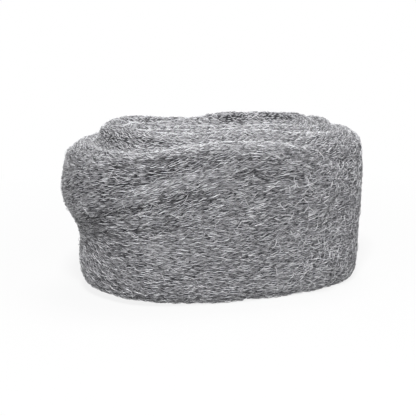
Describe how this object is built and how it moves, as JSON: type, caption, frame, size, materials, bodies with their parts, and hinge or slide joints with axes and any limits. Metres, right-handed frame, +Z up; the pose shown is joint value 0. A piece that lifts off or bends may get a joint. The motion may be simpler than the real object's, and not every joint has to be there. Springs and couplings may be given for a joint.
{
  "type": "steel wool bundle",
  "caption": "Ribbon of steel wool fibre wound into a flat-sided oval roll that stands on its edge, for scouring and polishing.",
  "frame": {"origin": "on the floor, under the middle of the roll's outline in plan", "axes": "+X along the long way of the roll, +Y from the smooth front with the loose tail towards the back, +Z up along the winding axis"},
  "size_m": [0.192, 0.0992, 0.1064],
  "materials": {
    "steel_wool": "bare fine steel fibre, dull mid grey"
  },
  "bodies": {
    "root": {"steel_wool_roll": "steel_wool"}
  },
  "joints": []
}
